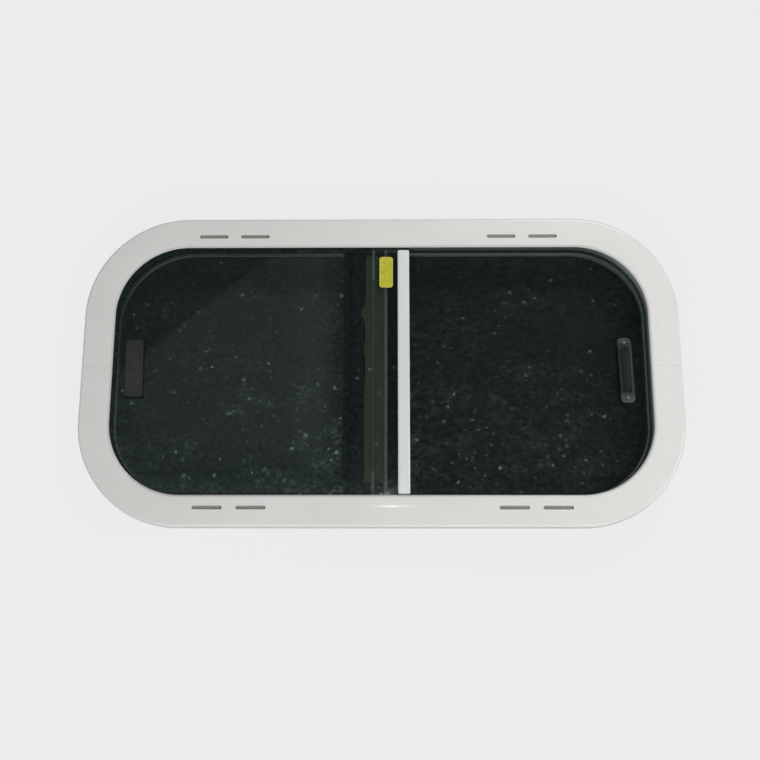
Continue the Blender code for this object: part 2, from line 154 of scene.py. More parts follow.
def new_material(name, **sockets):
    m = bpy.data.materials.new(name)
    m.use_nodes = True
    bsdf = m.node_tree.nodes["Principled BSDF"]
    for key, value in sockets.items():
        bsdf.inputs[key.replace("_", " ")].default_value = value
    return m, m.node_tree, bsdf


def powder_coat(name, light, dark, grime=0.2, rough=(0.34, 0.46), lip=False):
    """Sprayed and baked white paint: fine orange peel, slow tone drift, a few specks and grime at the jamb seams. With
    lip, painted shade on the lip's nose and along the outer edge, and a painted light line on the ledge behind the
    panes.
    """
    m, nt, bsdf = new_material(name, Specular_IOR_Level=0.3, Coat_Weight=0.35, Coat_Roughness=0.10)
    vec = coords(nt)
    drift = noise(nt, vec, 0.012, 3.0, 0.55)
    mottle = noise(nt, vec, 0.16, 4.0, 0.6)
    base = blend(nt, span(nt, drift, 0.32, 0.68), dark, light)
    base = blend(nt, span(nt, mottle, 0.45, 0.8, 0.0, 0.22), base, tuple(0.93 * c for c in dark))
    dist, tint = cells(nt, vec, 0.11)
    pick = channels(nt, tint)[0]
    speck = calc(nt, "MULTIPLY", span(nt, dist, 0.03, 0.07, 1.0, 0.0), span(nt, pick, 0.86, 0.93))
    base = blend(nt, calc(nt, "MULTIPLY", speck, 0.35), base, (0.34, 0.33, 0.30))
    x, y, z = parts_of(nt, vec)
    seam = calc(nt, "ABSOLUTE", calc(nt, "SUBTRACT", y, SEAM_Y))
    near = calc(nt, "MULTIPLY", span(nt, seam, 0.05, 0.9, 1.0, 0.0), span(nt, noise(nt, vec, 0.5, 3.0), 0.3, 0.7))
    base = blend(nt, calc(nt, "MULTIPLY", near, 0.45 * grime), base, (0.36, 0.35, 0.32))
    if lip:
        # painted shade on the lip's nose and along the outer edge, and a painted light line on the ledge behind the
        # panes, brighter or darker by x
        edge = calc(nt, "MULTIPLY", span(nt, from_edge(nt, vec), 0.0, 3.4, 1.0, 0.0), span(nt, z, 41.0, 41.4))
        rim = calc(nt, "MULTIPLY", span(nt, from_edge(nt, vec), 30.9, 31.5), span(nt, z, 42.6, 41.6))
        base = blend(nt, calc(nt, "MULTIPLY", edge, 0.55), base, (0.30, 0.32, 0.31))
        base = blend(nt, calc(nt, "MULTIPLY", rim, 0.6), base, (0.30, 0.31, 0.30))
        painted_light_by_x = calc(nt, "ADD", span(nt, x, -140.0, -30.0, 0.52, 0.80), span(nt, x, -20.0, 60.0, 0.0, -0.35))
        painted_light_by_x = calc(nt, "ADD", painted_light_by_x, span(nt, x, 205.0, 262.0, 0.0, 0.15))
        painted_light_by_x = calc(nt, "ADD", painted_light_by_x, calc(nt, "MULTIPLY", span(nt, x, -190.0, -250.0), span(nt, y, 55.0, -20.0, -0.26, 0.24)))
        behind = calc(nt, "MULTIPLY", span(nt, z, 25.0, 23.6), span(nt, from_edge(nt, vec), 3.6, 2.4))
        base = blend(nt, behind, base, blend(nt, painted_light_by_x, (0.02, 0.024, 0.024), (0.58, 0.70, 0.72)))
    nt.links.new(base, bsdf.inputs["Base Color"])
    nt.links.new(span(nt, noise(nt, vec, 0.22, 3.0), 0.3, 0.7, rough[0], rough[1]), bsdf.inputs["Roughness"])
    bump(nt, bsdf, noise(nt, vec, 0.85, 2.0, 0.45), 0.03, 0.2)
    return m


def slot_painted_shade():
    """Inside the drain slots: painted shade, a mottled grey well below the frame's white."""
    m, nt, bsdf = new_material("slot_painted_shade", Roughness=0.8)
    vec = coords(nt)
    n = noise(nt, vec, 0.55, 5.0, 0.65)
    nt.links.new(blend(nt, span(nt, n, 0.3, 0.72), (0.24, 0.24, 0.225), (0.36, 0.36, 0.34)), bsdf.inputs["Base Color"])
    bump(nt, bsdf, noise(nt, vec, 2.2, 3.0), 0.15, 0.5)
    return m


def moulded(name, light, dark, rough, grain=1.6, depth=0.04, scuff=(0.3, 0.3, 0.3), scuffs=0.25, shine=0.5):
    """Moulded plastic: spark-eroded grain, faint flow marks and rubbed scuffs."""
    m, nt, bsdf = new_material(name, Specular_IOR_Level=shine)
    vec = coords(nt)
    flow = noise(nt, coords(nt, (0.02, 0.06, 0.05)), 1.0, 3.0, 0.5, 0.6)
    base = blend(nt, span(nt, flow, 0.3, 0.7), dark, light)
    rub = calc(nt, "MULTIPLY", span(nt, noise(nt, vec, 0.09, 4.0, 0.6), 0.52, 0.72),
               span(nt, noise(nt, coords(nt, (0.25, 2.2, 2.2), (0, 0, 24)), 1.0, 3.0), 0.5, 0.7))
    base = blend(nt, calc(nt, "MULTIPLY", rub, scuffs), base, scuff)
    nt.links.new(base, bsdf.inputs["Base Color"])
    nt.links.new(span(nt, noise(nt, vec, 0.3, 3.0), 0.3, 0.7, rough[0], rough[1]), bsdf.inputs["Roughness"])
    bump(nt, bsdf, noise(nt, vec, grain, 3.0, 0.6), depth, 0.5)
    return m


def pull_plastic():
    """Dark grey moulded pull, with painted shade on the floor of the finger recess and painted highlights along its
    right rim, at both ends, on the recess's right wall and on the two domed plugs.
    """
    m, nt, bsdf = new_material("pull_plastic", Specular_IOR_Level=0.2)
    vec = coords(nt)
    x, y, z = parts_of(nt, vec)
    px, py = calc(nt, "SUBTRACT", x, 249.1), calc(nt, "ADD", y, 0.9)
    across = calc(nt, "ADD", px, calc(nt, "MULTIPLY", py, 0.0227))
    grain = noise(nt, vec, 0.5, 4.0, 0.6)
    base = blend(nt, span(nt, grain, 0.3, 0.7), (0.0128, 0.0144, 0.0138), (0.0200, 0.0220, 0.0212))
    # painted highlights along the right rim and at both ends
    rim = calc(nt, "MULTIPLY", span(nt, across, 3.4, 5.0), span(nt, z, 33.6, 34.4, 0.0, 0.42))
    ends = calc(nt, "MAXIMUM", span(nt, py, 25.0, 30.0, 0.0, 0.7), span(nt, py, -22.5, -28.0, 0.0, 0.9))
    painted_highlight = calc(nt, "MULTIPLY", calc(nt, "MAXIMUM", rim, ends), span(nt, noise(nt, vec, 0.23, 4.0, 0.65), 0.25, 0.6, 0.45, 1.0))
    base = blend(nt, painted_highlight, base, (0.064, 0.070, 0.070))
    # painted shade on the floor of the recess, darker to the left; a painted highlight on its right wall
    floor_tone = blend(nt, span(nt, across, -2.6, 2.2), (0.0070, 0.0090, 0.0076), (0.0125, 0.0150, 0.0136))
    well = blend(nt, span(nt, across, 2.6, 3.5), floor_tone, (0.068, 0.074, 0.072))
    base = blend(nt, span(nt, z, 34.9, 33.6), base, well)
    # painted highlights on the two domed plugs
    base = blend(nt, span(nt, z, 35.55, 35.75), base, (0.150, 0.160, 0.155))
    nt.links.new(base, bsdf.inputs["Base Color"])
    nt.links.new(span(nt, grain, 0.3, 0.7, 0.30, 0.44), bsdf.inputs["Roughness"])
    bump(nt, bsdf, noise(nt, vec, 1.4, 3.0, 0.6), 0.04, 0.5)
    return m


def brushed(name, light, dark, lay, rough=(0.26, 0.42), metal=1.0):
    """Drawn or brushed metal with fine lines along one axis."""
    m, nt, bsdf = new_material(name, Metallic=metal)
    fine = noise(nt, coords(nt, lay), 1.0, 4.0, 0.6)
    slow = noise(nt, coords(nt), 0.05, 3.0)
    base = blend(nt, span(nt, fine, 0.3, 0.7), dark, light)
    base = blend(nt, span(nt, slow, 0.4, 0.7, 0.0, 0.3), base, tuple(0.8 * c for c in dark))
    nt.links.new(base, bsdf.inputs["Base Color"])
    nt.links.new(span(nt, fine, 0.25, 0.75, rough[0], rough[1]), bsdf.inputs["Roughness"])
    bump(nt, bsdf, fine, 0.02, 0.4)
    return m


def flock():
    """Short black fibre on rubber, dusty along its tips."""
    m, nt, bsdf = new_material("flock", Specular_IOR_Level=0.15)
    vec = coords(nt)
    fibre = noise(nt, vec, 5.0, 4.0, 0.7)
    lint = span(nt, noise(nt, vec, 0.8, 5.0, 0.7), 0.58, 0.74)
    x, y, z = parts_of(nt, vec)
    # painted light and shade: paler to the right and in the lower left, darker towards the top and bottom of the web,
    # and paler high in the channel towards the middle and right
    tone_shift = calc(nt, "ADD", span(nt, x, -150.0, 60.0, 0.58, 1.42), span(nt, x, 215.0, 268.0, 0.0, 1.1))
    tone_shift = calc(nt, "ADD", tone_shift, calc(nt, "MULTIPLY", span(nt, x, -180.0, -255.0), span(nt, y, 25.0, -30.0, 0.0, 0.32)))
    web = calc(nt, "MULTIPLY", span(nt, z, 29.0, 30.6, 0.55, 1.0), span(nt, z, 35.9, 34.0, 0.62, 1.0))
    groove = calc(nt, "MULTIPLY", span(nt, z, 28.6, 36.6, 0.4, 1.0), calc(nt, "ADD", span(nt, x, -20.0, 40.0, 0.0, 0.75), span(nt, x, 190.0, 258.0, 0.0, 1.9)))
    tone_shift = calc(nt, "MULTIPLY", tone_shift, calc(nt, "ADD", web, groove))
    base = blend(nt, span(nt, fibre, 0.3, 0.7), (0.158, 0.205, 0.190), (0.335, 0.415, 0.395))
    base = blend(nt, calc(nt, "DIVIDE", tone_shift, 9.0), (0.0, 0.0, 0.0), base)
    base = blend(nt, calc(nt, "MULTIPLY", lint, 0.12), base, (0.07, 0.072, 0.068))
    nt.links.new(base, bsdf.inputs["Base Color"])
    nt.links.new(span(nt, fibre, 0.3, 0.7, 0.82, 1.0), bsdf.inputs["Roughness"])
    bump(nt, bsdf, fibre, 0.25, 0.8)
    return m


def foam():
    """Closed-cell foam: small open bubbles on the cut faces."""
    m, nt, bsdf = new_material("foam", Roughness=0.95)
    vec = coords(nt)
    dist, tint = cells(nt, vec, 1.1)
    small = cells(nt, vec, 2.6)[0]
    base = blend(nt, span(nt, dist, 0.1, 0.6), (0.028, 0.028, 0.031), (0.075, 0.075, 0.08))
    base = blend(nt, span(nt, noise(nt, vec, 0.05, 3.0), 0.4, 0.7, 0.0, 0.4), base, (0.05, 0.05, 0.052))
    nt.links.new(base, bsdf.inputs["Base Color"])
    height = calc(nt, "ADD", span(nt, dist, 0.05, 0.5), calc(nt, "MULTIPLY", span(nt, small, 0.05, 0.5), 0.5))
    bump(nt, bsdf, height, 0.3, 0.7)
    return m


def tape(name, light, dark):
    """Bonding tape with a fibrous backing, wetted out unevenly."""
    m, nt, bsdf = new_material(name, Roughness=0.7)
    vec = coords(nt)
    wet = noise(nt, coords(nt, (0.10, 0.03, 0.1)), 1.0, 4.0, 0.6, 0.4)
    fibre = noise(nt, coords(nt, (0.5, 3.0, 1.0), (0, 0, 8)), 1.0, 3.0, 0.6)
    base = blend(nt, span(nt, wet, 0.3, 0.7), dark, light)
    base = blend(nt, span(nt, fibre, 0.5, 0.75, 0.0, 0.3), base, tuple(0.7 * c for c in dark))
    nt.links.new(base, bsdf.inputs["Base Color"])
    bump(nt, bsdf, fibre, 0.05, 0.5)
    return m


def sticker():
    """A bare vinyl sticker: even yellow with a slightly faded border and tiny creases."""
    m, nt, bsdf = new_material("sticker", Roughness=0.36, Coat_Weight=0.25, Coat_Roughness=0.18)
    vec = coords(nt)
    x, y, z = parts_of(nt, vec)
    dx = calc(nt, "SUBTRACT", 6.95, calc(nt, "ABSOLUTE", calc(nt, "SUBTRACT", x, 5.35)))
    dy = calc(nt, "SUBTRACT", 16.6, calc(nt, "ABSOLUTE", calc(nt, "SUBTRACT", y, 102.2)))
    rim = span(nt, calc(nt, "MINIMUM", dx, dy), 0.2, 1.7, 1.0, 0.0)
    tone_shift = noise(nt, vec, 0.22, 4.0, 0.6)
    base = blend(nt, span(nt, tone_shift, 0.3, 0.75), (0.40, 0.385, 0.014), (0.56, 0.53, 0.033))
    base = blend(nt, calc(nt, "MULTIPLY", rim, 0.75), base, (0.56, 0.55, 0.12))
    nt.links.new(base, bsdf.inputs["Base Color"])
    bump(nt, bsdf, noise(nt, coords(nt, (0.9, 0.25, 1.0), (0, 0, 30)), 1.0, 4.0), 0.06, 0.4)
    return m


def pile():
    """Grey wool pile."""
    m, nt, bsdf = new_material("pile", Sheen_Weight=0.4)
    vec = coords(nt, (3.0, 3.0, 0.6))
    n = noise(nt, vec, 1.0, 4.0, 0.7)
    nt.links.new(blend(nt, span(nt, n, 0.3, 0.7), (0.025, 0.025, 0.027), (0.085, 0.085, 0.088)), bsdf.inputs["Base Color"])
    nt.links.new(span(nt, n, 0.3, 0.7, 0.85, 1.0), bsdf.inputs["Roughness"])
    bump(nt, bsdf, n, 0.2, 0.7)
    return m


def tinted_glass(name, face, tint, haze, density, wet, wiped, border, far, mark, wash, head, see=0.41):
    """Grey-green tinted glass. Both faces hold back light; dust and dried drops lie on the outside face, at height face."""
    m, nt, bsdf = new_material(name, IOR=1.52)
    vec = coords(nt)
    x, y, z = parts_of(nt, vec)
    front = span(nt, z, face - 0.12, face - 0.02)
    # where the spray has dried, in slanting patches that are heavier towards the sill
    low = calc(nt, "MULTIPLY", span(nt, y, 115.0, -125.0, 0.16, 1.15, False), span(nt, x, far, wet, 0.34, 1.2, False))
    patch = span(nt, noise(nt, coords(nt, (0.013, 0.036, 0.02), (0, 0, 9)), 1.0, 4.0, 0.62), 0.46, 0.66)
    clump = span(nt, noise(nt, vec, 0.055, 3.0, 0.6), 0.42, 0.66)
    spread = calc(nt, "MULTIPLY", calc(nt, "ADD", calc(nt, "MULTIPLY", patch, 0.8), 0.2), calc(nt, "ADD", calc(nt, "MULTIPLY", clump, 0.8), 0.2))
    # heavier along the sill and beside the meeting edge
    sill = span(nt, y, -98.0, -124.0, 0.0, 0.55)
    meet = span(nt, calc(nt, "ABSOLUTE", calc(nt, "SUBTRACT", x, wet)), 3.0, 26.0, 0.8, 0.0)
    low = calc(nt, "MAXIMUM", low, calc(nt, "MULTIPLY", meet, span(nt, y, 80.0, 25.0, 0.0, 0.85)))
    spread = calc(nt, "MAXIMUM", spread, calc(nt, "MULTIPLY", calc(nt, "MAXIMUM", sill, meet), clump))
    # wiped clean where the meeting strip sits behind it
    clean = span(nt, x, wiped - 2.0, wiped + 1.0, 1.0, 0.07)
    thick = calc(nt, "MULTIPLY", calc(nt, "MULTIPLY", spread, low), clean)
    # mottled film
    mottle = noise(nt, coords(nt, (0.17, 0.23, 0.2), (0, 0, 28)), 1.0, 3.0, 0.6)
    film = calc(nt, "MULTIPLY", span(nt, mottle, 0.34, 0.78, 0.0, haze, False),
                span(nt, thick, 0.0, 0.7, 0.35, 1.5, False))
    # a faint pale grey film all over, heavier towards the sill and paler in a band along the head; near the daylight
    # edge and in the lower left corner it is painted light that lifts the shaded glass there
    pale_film_and_painted_light = calc(nt, "MAXIMUM", calc(nt, "ADD", span(nt, y, -60.0, -118.0, 0.004, 0.026, False), span(nt, y, -108.0, -127.0, 0.0, 0.040)),
                 span(nt, from_edge(nt, vec), -6.5, -4.0, 0.0, 0.036))
    corner = calc(nt, "MULTIPLY", span(nt, x, -205.0, -262.0, 0.0, 0.017), span(nt, y, 45.0, -25.0))
    pale_film_and_painted_light = calc(nt, "ADD", calc(nt, "ADD", pale_film_and_painted_light, corner), span(nt, y, 109.0, 124.0, 0.0, head))
    film = calc(nt, "ADD", film, calc(nt, "MULTIPLY", pale_film_and_painted_light, span(nt, mottle, 0.3, 0.7, 0.6, 1.4)))
    # dried drops in three sizes: cell in mm, largest radius in mm, share, faint, strong
    drops = film
    for cell, wide, share, faint, strong, at in ((6.0, 4.0, 1.0, 0.03, 0.19, 0.0), (9.0, 4.2, 0.90, 0.06, 0.42, 37.0),
                                                 (17.0, 4.0, 0.60, 0.10, 0.46, 71.0)):
        dist, tint_c = cells(nt, coords(nt, (1.0, 1.15, 1.0), (0, 0, 18), (at, at * 0.7, 0.0)), 1.0 / cell, 1.0, True)
        one, two, three = channels(nt, tint_c)
        chosen = span(nt, calc(nt, "ADD", one, calc(nt, "MULTIPLY", thick, share * density)), 0.98, 1.02)
        radius = span(nt, two, 0.0, 1.0, 0.5 * wide / cell, wide / cell, False)
        ragged = span(nt, noise(nt, vec, 0.42, 2.0, 0.6), 0.34, 0.66, 0.55, 1.9, False)
        dot = span(nt, calc(nt, "DIVIDE", calc(nt, "MULTIPLY", dist, ragged), radius), 0.1, 1.0, 1.0, 0.0)
        dot = calc(nt, "MULTIPLY", calc(nt, "MULTIPLY", dot, chosen),
                   calc(nt, "ADD", calc(nt, "MULTIPLY", calc(nt, "POWER", three, 2.5), mark * (strong - faint)), mark * faint))
        drops = calc(nt, "MAXIMUM", drops, calc(nt, "MULTIPLY", dot, span(nt, y, -10.0, -112.0, 1.0, wash, False)))
    dust = calc(nt, "MULTIPLY", front, drops)
    base = blend(nt, dust, tint, (0.38, 0.56, 0.545))
    nt.links.new(base, bsdf.inputs["Base Color"])
    slant = nt.nodes.new("ShaderNodeLayerWeight")
    slant.inputs["Blend"].default_value = 0.5
    # the tint film stops a little short of the pane's edge
    film_edge = span(nt, from_edge(nt, vec), -4.2, -2.8, see, see * border)
    veil = calc(nt, "ADD", calc(nt, "MULTIPLY", calc(nt, "POWER", slant.outputs["Facing"], 3.0), 0.5), film_edge)
    nt.links.new(calc(nt, "MINIMUM", calc(nt, "ADD", veil, calc(nt, "MULTIPLY", dust, 1.0 - see)), 1.0), bsdf.inputs["Alpha"])
    smear = noise(nt, coords(nt, (0.012, 0.03, 0.02), (0, 0, -20)), 1.0, 4.0, 0.6, 0.5)
    rough = calc(nt, "ADD", span(nt, smear, 0.35, 0.75, 0.02, 0.07), calc(nt, "MULTIPLY", dust, 0.5))
    nt.links.new(rough, bsdf.inputs["Roughness"])
    return m


def strip_finish():
    """Black anodised strip with a painted highlight along the tips of its two bonding ribs; over most of the first it
    is dimmed to an olive like the tape's.
    """
    m, nt, bsdf = new_material("strip_finish")
    vec = coords(nt)
    x, y, z = parts_of(nt, vec)
    fine = noise(nt, coords(nt, (3.0, 0.04, 3.0)), 1.0, 4.0, 0.6)
    body = blend(nt, span(nt, fine, 0.3, 0.7), (0.010, 0.011, 0.011), (0.024, 0.026, 0.026))
    tip = blend(nt, span(nt, fine, 0.3, 0.7), (0.34, 0.47, 0.46), (0.47, 0.63, 0.62))
    blot = span(nt, noise(nt, coords(nt, (0.05, 0.085, 0.05)), 1.0, 3.0, 0.6), 0.56, 0.70)
    ends = calc(nt, "MAXIMUM", span(nt, y, 92.0, 101.0), span(nt, y, -102.0, -108.0))
    clear = calc(nt, "MAXIMUM", calc(nt, "MAXIMUM", calc(nt, "MULTIPLY", blot, 0.3), ends), span(nt, x, -3.0, -2.0))
    tip = blend(nt, clear, (0.235, 0.285, 0.205), tip)
    # painted highlight along the rib tips
    painted_highlight = calc(nt, "MULTIPLY", span(nt, z, 35.3, 35.5), span(nt, fine, 0.2, 0.45, 0.75, 1.0))
    nt.links.new(blend(nt, painted_highlight, body, tip), bsdf.inputs["Base Color"])
    nt.links.new(span(nt, fine, 0.25, 0.75, 0.36, 0.52), bsdf.inputs["Roughness"])
    bump(nt, bsdf, fine, 0.02, 0.4)
    return m


M = {
    "frame": powder_coat("frame_coat", (0.715, 0.711, 0.694), (0.690, 0.686, 0.669), lip=True),
    "bar": powder_coat("bar_coat", (0.672, 0.700, 0.688), (0.648, 0.676, 0.664), 0.0),
    # painted shade for the insides of the drain slots
    "slot_shade": slot_painted_shade(),
    "ring": moulded("ring_plastic", (0.73, 0.74, 0.725), (0.69, 0.70, 0.68), (0.40, 0.55), 1.1, 0.05, (0.52, 0.51, 0.48), 0.3),
    "alu": brushed("plate_aluminium", (0.66, 0.67, 0.68), (0.52, 0.53, 0.54), (2.5, 0.05, 2.5)),
    "strip": strip_finish(),
    "steel": brushed("screw_steel", (0.68, 0.67, 0.65), (0.50, 0.50, 0.50), (1.6, 1.6, 0.4), (0.2, 0.36)),
    "flock": flock(),
    "foam": foam(),
    "outer_glass": tinted_glass("outer_glass", 40.0, (0.0030, 0.0070, 0.0066), 0.12, 1.6, -42.0, -38.5, 1.0, -275.0, 1.05, 1.0, 0.0),
    "inner_glass": tinted_glass("inner_glass", 28.6, (0.0030, 0.0066, 0.0056), 0.09, 1.5, 34.0, 900.0, 0.45, 275.0, 0.66, 1.7, 0.028),
    "black": moulded("black_plastic", (0.022, 0.023, 0.023), (0.013, 0.014, 0.014), (0.38, 0.55), 1.8, 0.04, (0.07, 0.07, 0.068)),
    "grey": pull_plastic(),
    "tape": tape("bond_tape", (0.212, 0.236, 0.120), (0.162, 0.182, 0.092)),
    "pad": tape("pull_tape", (0.29, 0.272, 0.236), (0.24, 0.224, 0.196)),
    "tag": sticker(),
    "pile": pile(),
}


# ================================================================ shape builders
def finish_mesh(obj, smooth):
    if smooth:
        obj.data.shade_smooth()
        obj.data.set_sharp_from_angle(angle=math.radians(smooth))
        mod = obj.modifiers.new("even", "WEIGHTED_NORMAL")
        mod.keep_sharp = True
        keep(obj)


def keep(obj):
    """Put the result of the modifiers into the mesh."""
    graph = bpy.context.evaluated_depsgraph_get()
    done = bpy.data.meshes.new_from_object(obj.evaluated_get(graph), preserve_all_data_layers=True, depsgraph=graph)
    obj.modifiers.clear()
    old, obj.data = obj.data, done
    bpy.data.meshes.remove(old)
    done.name = obj.name


def bare(name, bm):
    bmesh.ops.remove_doubles(bm, verts=bm.verts, dist=1e-4)
    bmesh.ops.recalc_face_normals(bm, faces=bm.faces)
    bm.transform(Matrix.Scale(MM, 4))
    mesh = bpy.data.meshes.new(name)
    bm.to_mesh(mesh)
    bm.free()
    obj = bpy.data.objects.new(name, mesh)
    bpy.context.scene.collection.objects.link(obj)
    return obj


def carve(obj, bm, operation="DIFFERENCE", mat=None):
    """Cut or join with EXACT, and keep the result in the mesh."""
    tool = bare(obj.name + "_tool", bm)
    if mat is not None:
        tool.data.materials.append(mat)
    mod = obj.modifiers.new("carve", "BOOLEAN")
    mod.solver = "EXACT"
    mod.operation = operation
    mod.object = tool
    if mat is not None:
        mod.material_mode = "TRANSFER"
    keep(obj)
    gone = tool.data
    bpy.data.objects.remove(tool)
    bpy.data.meshes.remove(gone)


def tidy(obj):
    """Close up the faces of no width that a cut can leave."""
    bm = bmesh.new()
    bm.from_mesh(obj.data)
    bmesh.ops.dissolve_degenerate(bm, dist=1e-6, edges=bm.edges)
    bm.to_mesh(obj.data)
    bm.free()


def piece(name, bm, mat, body, node, smooth=38, cuts=()):
    obj = bare(name, bm)
    obj.data.materials.append(mat)
    for cut in cuts:
        carve(obj, *cut)
    if cuts:
        tidy(obj)
    finish_mesh(obj, smooth)
    settle(obj, body, node)
    return obj


def settle(obj, body, node):
    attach(obj, body)
    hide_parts(node)


def fillet(points, seg=4):
    """A closed polygon of (x, y) or (x, y, radius) with those corners rounded."""
    out = []
    n = len(points)
    for i, p in enumerate(points):
        c = Vector(p[:2])
        if len(p) < 3 or p[2] <= 0:
            out.append((c.x, c.y))
            continue
        a, b = Vector(points[i - 1][:2]) - c, Vector(points[(i + 1) % n][:2]) - c
        half = a.angle(b) / 2
        reach = min(p[2] / math.tan(half), 0.49 * a.length, 0.49 * b.length)
        r = reach * math.tan(half)
        mid = c + (a.normalized() + b.normalized()).normalized() * (r / math.sin(half))
        v0, v1 = c + a.normalized() * reach - mid, c + b.normalized() * reach - mid
        t0 = math.atan2(v0.y, v0.x)
        turn = (math.atan2(v1.y, v1.x) - t0 + math.pi) % (2 * math.pi) - math.pi
        for k in range(seg + 1):
            t = t0 + turn * k / seg
            out.append((mid.x + r * math.cos(t), mid.y + r * math.sin(t)))
    return out


def bezier(p0, p1, p2, p3, n):
    out = []
    for i in range(1, n + 1):
        t = i / n
        w = ((1 - t) ** 3, 3 * t * (1 - t) ** 2, 3 * t * t * (1 - t), t ** 3)
        out.append(tuple(sum(k * q[j] for k, q in zip(w, (p0, p1, p2, p3))) for j in (0, 1)))
    return out


def shrunk(profile, by):
    """The closed profile drawn in by a small step, for the broken edge at a cut end."""
    n = len(profile)
    area = sum(profile[i - 1][0] * profile[i][1] - profile[i][0] * profile[i - 1][1] for i in range(n))
    sign = 1.0 if area > 0 else -1.0
    out = []
    for i, p in enumerate(profile):
        a, b = profile[i - 1], profile[(i + 1) % n]
        tx, ty = b[0] - a[0], b[1] - a[1]
        length = math.hypot(tx, ty) or 1.0
        out.append((p[0] - sign * ty / length * by, p[1] + sign * tx / length * by))
    return out


def loft(rings, closed=False):
    """Skin a list of equal-length rings of points; capped unless the rings close on themselves."""
    bm = bmesh.new()
    rows = [[bm.verts.new(p) for p in ring] for ring in rings]
    m = len(rows[0])
    for i in range(len(rows) if closed else len(rows) - 1):
        r0, r1 = rows[i], rows[(i + 1) % len(rows)]
        for k in range(m):
            bm.faces.new((r0[k], r0[(k + 1) % m], r1[(k + 1) % m], r1[k]))
    if not closed:
        bm.faces.new(list(reversed(rows[0])))
        bm.faces.new(rows[-1])
    return bm


def sweep(profile, half, edge=0.0):
    """A (u, z) profile taken round the daylight outline: the whole ring, or one half with its ends broken by edge."""
    def bend(cx, cy, a0):
        return [(cx, cy, a0 + math.pi / 2 * i / BEND, 0.0) for i in range(BEND + 1)]

    if half == "ring":
        spots = bend(CX, CY, 0) + bend(-CX, CY, math.pi / 2) + bend(-CX, -CY, math.pi) + bend(CX, -CY, 1.5 * math.pi)
    else:
        s = 1 if half == "upper" else -1
        y0 = SEAM_Y + s * SEAM_GAP / 2
        y1 = y0 + s * edge
        ends = [(y0, edge), (y1, 0.0)] if edge else [(y0, 0.0)]
        if s > 0:
            spots = ([(CX, y, 0.0, e) for y, e in ends] + bend(CX, CY, 0) + bend(-CX, CY, math.pi / 2)
                     + [(-CX, y, math.pi, e) for y, e in reversed(ends)])
        else:
            spots = ([(-CX, y, math.pi, e) for y, e in ends] + bend(-CX, -CY, math.pi) + bend(CX, -CY, 1.5 * math.pi)
                     + [(CX, y, 0.0, e) for y, e in reversed(ends)])
    small = shrunk(profile, edge) if edge else profile
    rings = []
    for cx, cy, a, e in spots:
        rings.append([(cx + (R + u) * math.cos(a), cy + (R + u) * math.sin(a), z) for u, z in (small if e else profile)])
    return loft(rings, half == "ring")


def outline(x0, x1, y0, y1, r, n=8):
    """Counter-clockwise rounded rectangle; r is one radius or four: right-top, left-top, left-bottom, right-bottom."""
    rs = r if isinstance(r, (tuple, list)) else (r,) * 4
    out = []
    for (x, y, sx, sy, a0), q in zip(((x1, y1, -1, -1, 0), (x0, y1, 1, -1, 90), (x0, y0, 1, 1, 180), (x1, y0, -1, 1, 270)), rs):
        steps = BEND if q > 20 else n
        for i in range(steps + 1):
            a = math.radians(a0 + 90.0 * i / steps)
            out.append((x + sx * q + q * math.cos(a), y + sy * q + q * math.sin(a)))
    return out


def block(x0, x1, y0, y1, r, layers, n=8, lean=None):
    """A rounded block from (inset, z) layers, lowest first. lean turns it about its middle, in degrees."""
    rs = r if isinstance(r, (tuple, list)) else (r,) * 4
    cx, cy = (x0 + x1) / 2, (y0 + y1) / 2
    c, s = math.cos(math.radians(lean or 0)), math.sin(math.radians(lean or 0))
    rings = []
    for inset, z in layers:
        ring = outline(x0 + inset, x1 - inset, y0 + inset, y1 - inset, [max(q - inset, 0.03) for q in rs], n)
        rings.append([(cx + c * (px - cx) - s * (py - cy), cy + s * (px - cx) + c * (py - cy), z) for px, py in ring])
    return loft(rings)


def round_edge(z0, z1, low, high, n=5):
    """Layers of a block whose lower and upper edges are rounded to these radii."""
    out = []
    for i in range(n + 1):
        a = math.pi / 2 * i / n
        out.append((low * (1 - math.sin(a)), z0 + low * (1 - math.cos(a))))
    for i in range(n + 1):
        a = math.pi / 2 * i / n
        out.append((high * (1 - math.cos(a)), z1 - high * (1 - math.sin(a))))
    return out


def upright(profile, y0, y1, edge=0.2):
    """An (x, z) profile extruded up the window, with its cut ends broken."""
    small = shrunk(profile, edge)
    return loft([[(x, y, z) for x, z in p] for p, y in ((small, y0), (profile, y0 + edge), (profile, y1 - edge), (small, y1))])


def turned(profile, place=Matrix.Identity(4), sides=40):
    rings = []
    for r, z in profile:
        rings.append([place @ Vector((r * math.cos(2 * math.pi * i / sides), r * math.sin(2 * math.pi * i / sides), z))
                      for i in range(sides)])
    return loft(rings)


def together(parts):
    """Several closed shapes in one tool."""
    bm = bmesh.new()
    for part in parts:
        mesh = bpy.data.meshes.new("part")
        bmesh.ops.recalc_face_normals(part, faces=part.faces)
        part.to_mesh(mesh)
        part.free()
        bm.from_mesh(mesh)
        bpy.data.meshes.remove(mesh)
    return bm


# ================================================================ frame halves
def crown(u):
    """Almost flat: two slight falls from a soft ridge."""
    d = u - CROWN_U
    return DEPTH - (0.022 if d < 0 else 0.032) * (math.sqrt(d * d + 1.7) - math.sqrt(1.7))


